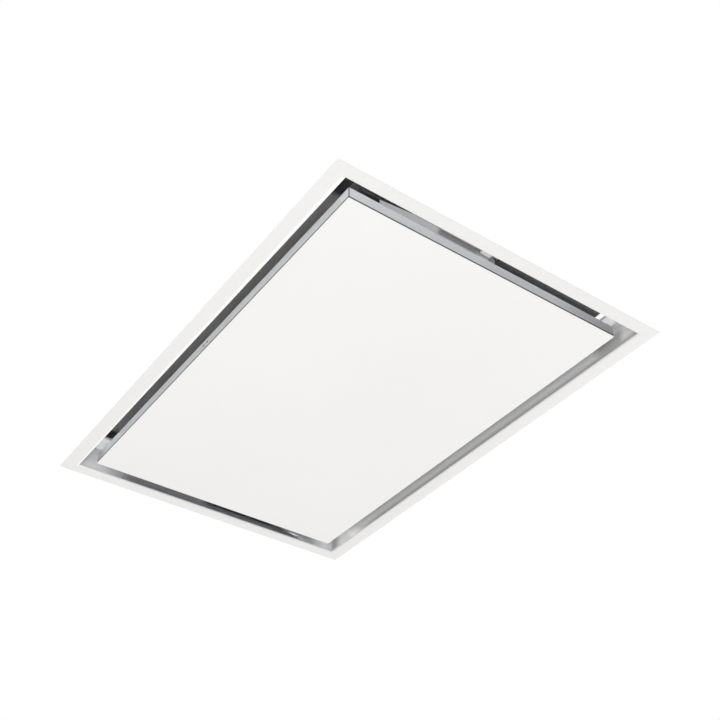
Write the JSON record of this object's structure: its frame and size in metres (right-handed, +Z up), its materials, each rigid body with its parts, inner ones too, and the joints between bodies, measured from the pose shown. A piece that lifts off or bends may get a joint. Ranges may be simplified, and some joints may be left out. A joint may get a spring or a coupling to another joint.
{
  "type": "ceiling range hood",
  "caption": "Flush rectangular ceiling range hood: flange, hinged edge-suction panel with stays, grease filters, plenum, blower, round duct outlet and control box.",
  "frame": {"origin": "centre of the flange's lower face, the side seen from the room", "axes": "+X along the long side, +Y across, away from the panel's hinges, +Z up into the ceiling"},
  "size_m": [1, 0.68, 0.271],
  "materials": {
    "white_paint": "satin",
    "brushed_stainless": "satin",
    "polished_stainless": "polished",
    "black_gasket": "matte",
    "grey_felt": "matte",
    "galvanised_steel": "satin",
    "zinc_steel": "satin",
    "filter_aluminium": "satin",
    "white_nylon": "matte",
    "black_plastic": "matte",
    "motor_paint": "satin",
    "copper_winding": "satin",
    "capacitor_shell": "gloss",
    "circuit_board": "satin"
  },
  "bodies": {
    "hood_body": {"ceiling_flange": "white_paint", "liner_wall_front": "brushed_stainless", "liner_wall_rear": "brushed_stainless", "liner_wall_left": "brushed_stainless", "liner_wall_right": "brushed_stainless", "filter_deck": "polished_stainless", "blower_feet": "black_gasket", "lining_strips": "grey_felt", "plenum_front": "galvanised_steel", "plenum_rear": "galvanised_steel", "plenum_left": "galvanised_steel", "plenum_right": "galvanised_steel", "plenum_top": "galvanised_steel", "motor_box": "galvanised_steel", "motor_box_lid": "galvanised_steel", "scroll_base": "galvanised_steel", "scroll_wall": "galvanised_steel", "scroll_cover": "galvanised_steel", "inlet_ring": "galvanised_steel", "outlet_collar": "galvanised_steel", "control_box": "galvanised_steel", "control_box_cover": "galvanised_steel", "suspension_brackets": "galvanised_steel", "hinge_brackets": "zinc_steel", "catch_brackets": "zinc_steel", "stay_rails": "zinc_steel", "hinge_pins": "zinc_steel", "damper_pin": "zinc_steel", "motor_bearings": "zinc_steel", "casing_screws": "zinc_steel", "filter_frame_left": "filter_aluminium", "filter_frame_centre": "filter_aluminium", "filter_frame_right": "filter_aluminium", "filter_meshes": "filter_aluminium", "cable_gland": "black_plastic", "magnetic_catches": "black_plastic", "motor_housing": "motor_paint", "motor_stator": "copper_winding", "run_capacitor": "capacitor_shell", "control_board": "circuit_board"},
    "access_panel": {"panel_face": "white_paint", "panel_gasket": "black_gasket", "panel_tray": "brushed_stainless", "tray_lining": "grey_felt", "panel_stiffener": "zinc_steel", "panel_rivets": "zinc_steel", "strike_plates": "zinc_steel", "hinge_leaves": "zinc_steel", "stay_studs": "zinc_steel"},
    "stay_left": {"stay_blade_left": "zinc_steel"},
    "stay_right": {"stay_blade_right": "zinc_steel"},
    "slider_left": {"slider_block_left": "white_nylon"},
    "slider_right": {"slider_block_right": "white_nylon"},
    "latch_left": {"filter_latch_left": "black_plastic"},
    "latch_centre": {"filter_latch_centre": "black_plastic"},
    "latch_right": {"filter_latch_right": "black_plastic"},
    "fan": {"fan_impeller": "galvanised_steel", "motor_rotor": "zinc_steel"},
    "damper_left": {"damper_flap_left": "filter_aluminium"},
    "damper_right": {"damper_flap_right": "filter_aluminium"}
  },
  "joints": [
    {"name": "panel_hinge", "type": "hinge", "parent": "hood_body", "child": "access_panel", "pos_m": [0, -0.275, 0.015], "axis": [-1, 0, 0], "range_deg": [0, 90]},
    {"name": "stay_pivot_left", "type": "hinge", "parent": "access_panel", "child": "stay_left", "pos_m": [-0.4434, -0.212, 0.022], "axis": [1, 0, 0], "range_deg": [0, 110.09]},
    {"name": "stay_pivot_right", "type": "hinge", "parent": "access_panel", "child": "stay_right", "pos_m": [0.4434, -0.212, 0.022], "axis": [1, 0, 0], "range_deg": [0, 110.09]},
    {"name": "stay_slide_left", "type": "slide", "parent": "hood_body", "child": "slider_left", "axis": [0, -1, 0], "range_m": [0, 0.07265]},
    {"name": "stay_slide_right", "type": "slide", "parent": "hood_body", "child": "slider_right", "axis": [0, -1, 0], "range_m": [0, 0.07265]},
    {"name": "fan_spin", "type": "hinge", "parent": "hood_body", "child": "fan", "pos_m": [0.09, -0.06, 0.19], "axis": [0, 0, 1], "continuous": true},
    {"name": "damper_swing_left", "type": "hinge", "parent": "hood_body", "child": "damper_left", "pos_m": [-0.29, 0, 0.19], "axis": [0, 0, 1], "range_deg": [0, 80], "stiffness_Nm_per_rad": 0.01},
    {"name": "damper_swing_right", "type": "hinge", "parent": "hood_body", "child": "damper_right", "pos_m": [-0.29, 0, 0.19], "axis": [0, 0, -1], "range_deg": [0, 80]},
    {"name": "latch_slide_left", "type": "slide", "parent": "hood_body", "child": "latch_left", "axis": [0, 1, 0], "range_m": [0, 0.0057], "stiffness_N_per_m": 300},
    {"name": "latch_slide_centre", "type": "slide", "parent": "hood_body", "child": "latch_centre", "axis": [0, 1, 0], "range_m": [0, 0.0057], "stiffness_N_per_m": 300},
    {"name": "latch_slide_right", "type": "slide", "parent": "hood_body", "child": "latch_right", "axis": [0, 1, 0], "range_m": [0, 0.0057], "stiffness_N_per_m": 300}
  ],
  "couplings": [
    {"joint": "stay_pivot_left", "follows": "panel_hinge", "ratio": 1.2231},
    {"joint": "stay_pivot_right", "follows": "panel_hinge", "ratio": 1.2231},
    {"joint": "stay_slide_left", "follows": "panel_hinge", "m_per_rad": 0.046246},
    {"joint": "stay_slide_right", "follows": "panel_hinge", "m_per_rad": 0.046246},
    {"joint": "damper_swing_right", "follows": "damper_swing_left", "ratio": 1}
  ]
}
